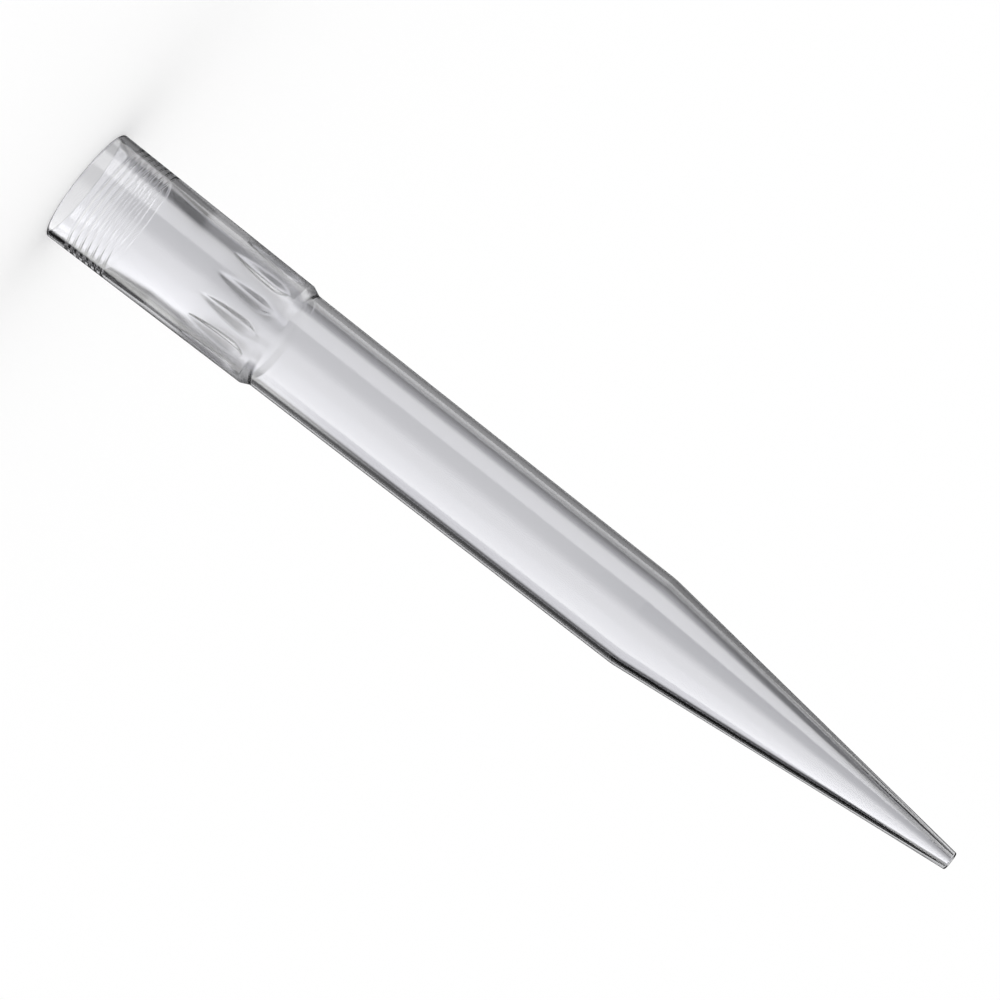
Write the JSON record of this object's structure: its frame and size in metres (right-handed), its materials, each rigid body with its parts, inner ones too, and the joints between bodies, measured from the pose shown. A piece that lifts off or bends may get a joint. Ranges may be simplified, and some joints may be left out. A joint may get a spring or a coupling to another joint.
{
  "type": "pipette tip",
  "caption": "Slender clear plastic pipette tip: tapered collar with a ringed and ribbed socket, small shoulder, long body and a conical open point.",
  "frame": {"origin": "centre of the mouth rim's face, on which the tip stands", "axes": "+Z along the tip's axis, from the mouth rim up to the open point; +X and +Y are alike, because the tip is round"},
  "size_m": [0.0082, 0.0082, 0.071],
  "materials": {
    "clear_polypropylene": "clear, slightly hazy, polished mould surface"
  },
  "bodies": {
    "root": {"pipette_tip": "clear_polypropylene"}
  },
  "joints": []
}
